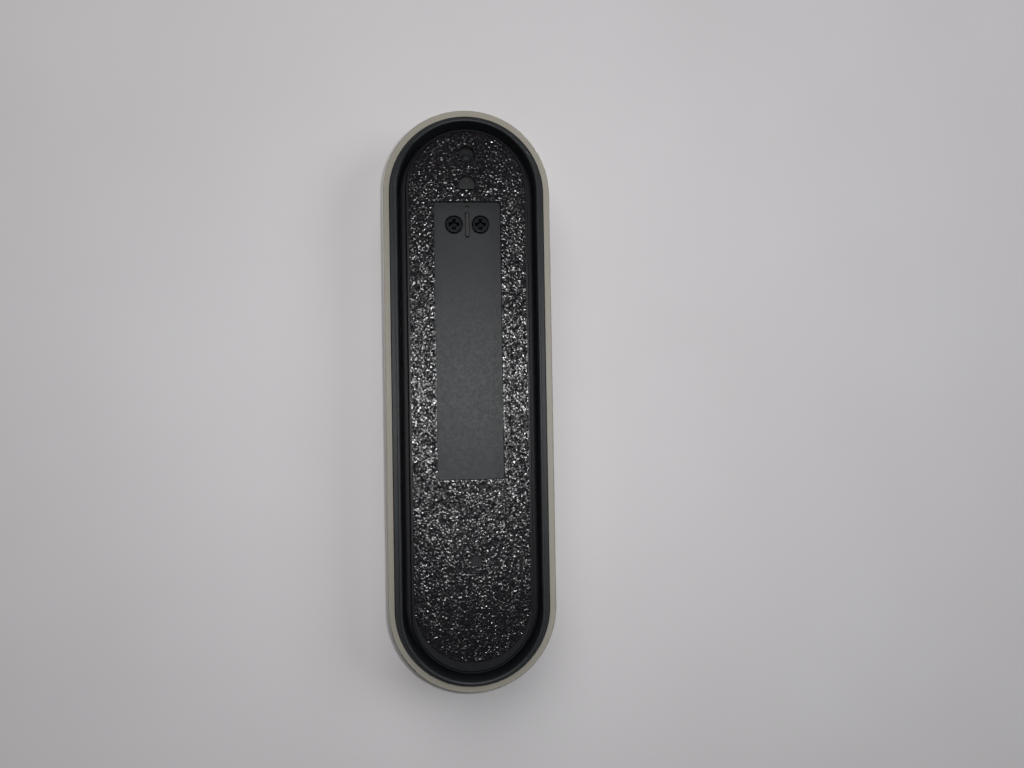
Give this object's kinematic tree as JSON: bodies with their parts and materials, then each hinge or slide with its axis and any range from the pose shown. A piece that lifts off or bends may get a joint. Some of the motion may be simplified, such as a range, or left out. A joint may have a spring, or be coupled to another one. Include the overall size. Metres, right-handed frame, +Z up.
{
  "type": "video doorbell",
  "caption": "Slim pill-shaped battery video doorbell on a pill-shaped wall plate with a textured pad and a wire window; tilts off a bottom hook once its latch is released.",
  "frame": {"origin": "centre of the flat face that beds on the wall", "axes": "+Z up along the doorbell's height, +Y into the wall, +X to the right for a visitor facing the doorbell"},
  "size_m": [0.046, 0.0228, 0.16],
  "materials": {
    "shell_plastic": "fine matt moulded, warm grey-beige",
    "rear_plastic": "satin moulded, dark grey",
    "plate_plastic": "satin moulded, near black",
    "pad_rubber": "coarse grained and glossy, black",
    "black_rubber": "smooth, black",
    "inner_plastic": "plain moulded, black",
    "latch_plastic": "plain moulded, dark grey",
    "black_steel": "blackened, satin",
    "steel": "bright zinc",
    "spring_steel": "bright drawn wire",
    "brass": "bright",
    "circuit_board": "solder mask, green",
    "chip_plastic": "moulded package, black",
    "battery_wrap": "shrink film, dark blue",
    "foam": "closed-cell foam, black",
    "antenna_film": "polyimide film, amber",
    "pane_gloss": "polished, black",
    "lens_glass": "coated glass",
    "led_resin": "clear resin",
    "milky_lens": "milky, translucent",
    "button_plastic": "fine matt, warm grey-beige",
    "speaker_film": "pressed film, dark grey"
  },
  "bodies": {
    "wall_side": {"wall_plate": "plate_plastic", "grip_pad": "pad_rubber"},
    "doorbell": {"front_shell": "shell_plastic", "rear_housing": "rear_plastic", "channel_gasket": "black_rubber", "case_seal": "black_rubber", "microphone_boot": "black_rubber", "chassis_frame": "inner_plastic", "battery_connector": "inner_plastic", "terminal_block": "inner_plastic", "latch_cover": "inner_plastic", "port_tongue": "inner_plastic", "lens_barrel": "inner_plastic", "speaker_frame": "inner_plastic", "case_screws": "steel", "chassis_screws": "steel", "board_screws": "steel", "charging_port": "steel", "radio_shield": "steel", "motion_sensor": "steel", "button_spring": "spring_steel", "latch_spring": "spring_steel", "terminal_contacts": "brass", "main_board": "circuit_board", "terminal_board": "circuit_board", "port_board": "circuit_board", "sensor_board": "circuit_board", "button_board": "circuit_board", "board_chips": "chip_plastic", "button_switch": "chip_plastic", "reset_switch": "chip_plastic", "image_sensor": "chip_plastic", "microphone": "chip_plastic", "battery_pack": "battery_wrap", "battery_pad": "foam", "pane_gasket": "foam", "wifi_antenna": "antenna_film", "camera_ribbon": "antenna_film", "camera_pane": "pane_gloss", "lens_cover": "lens_glass", "lens_elements": "lens_glass", "infrared_leds": "led_resin", "ring_leds": "led_resin", "motion_lens": "milky_lens", "light_ring": "milky_lens", "speaker_cone": "speaker_film"},
    "button": {"button_cap": "button_plastic", "switch_plunger": "latch_plastic"},
    "latch": {"release_latch": "latch_plastic"},
    "reset": {"reset_plunger": "latch_plastic"},
    "left_clamp": {"terminal_washer_left": "steel"},
    "left_screw": {"terminal_screw_left": "black_steel"},
    "right_clamp": {"terminal_washer_right": "steel"},
    "right_screw": {"terminal_screw_right": "black_steel"}
  },
  "joints": [
    {"name": "doorbell_tilt", "type": "hinge", "parent": "wall_side", "child": "doorbell", "pos_m": [0, -0.00265, -0.0733], "axis": [1, 0, 0], "range_deg": [0, 10]},
    {"name": "button_press", "type": "slide", "parent": "doorbell", "child": "button", "axis": [0, 1, 0], "range_m": [0, 0.0008], "stiffness_N_per_m": 800, "springref_m": -0.0008, "deforming": ["button_spring"]},
    {"name": "latch_release", "type": "slide", "parent": "doorbell", "child": "latch", "axis": [0, 0, -1], "range_m": [0, 0.0015], "stiffness_N_per_m": 500, "springref_m": -0.001, "deforming": ["latch_spring"]},
    {"name": "reset_press", "type": "slide", "parent": "doorbell", "child": "reset", "axis": [0, -1, 0], "range_m": [0, 0.0004], "stiffness_N_per_m": 400, "springref_m": -0.0004},
    {"name": "left_clamp_lift", "type": "slide", "parent": "doorbell", "child": "left_clamp", "axis": [0, 1, 0], "range_m": [0, 0.0016]},
    {"name": "left_screw_turn", "type": "hinge", "parent": "left_clamp", "child": "left_screw", "pos_m": [-0.00362, -0.0032, 0.04795], "axis": [0, 1, 0], "range_deg": [0, 720]},
    {"name": "right_clamp_lift", "type": "slide", "parent": "doorbell", "child": "right_clamp", "axis": [0, 1, 0], "range_m": [0, 0.0016]},
    {"name": "right_screw_turn", "type": "hinge", "parent": "right_clamp", "child": "right_screw", "pos_m": [0.00362, -0.0032, 0.04795], "axis": [0, 1, 0], "range_deg": [0, 720]}
  ],
  "couplings": [
    {"joint": "left_screw_turn", "follows": "left_clamp_lift", "rad_per_m": 7854},
    {"joint": "right_screw_turn", "follows": "right_clamp_lift", "rad_per_m": 7854}
  ]
}
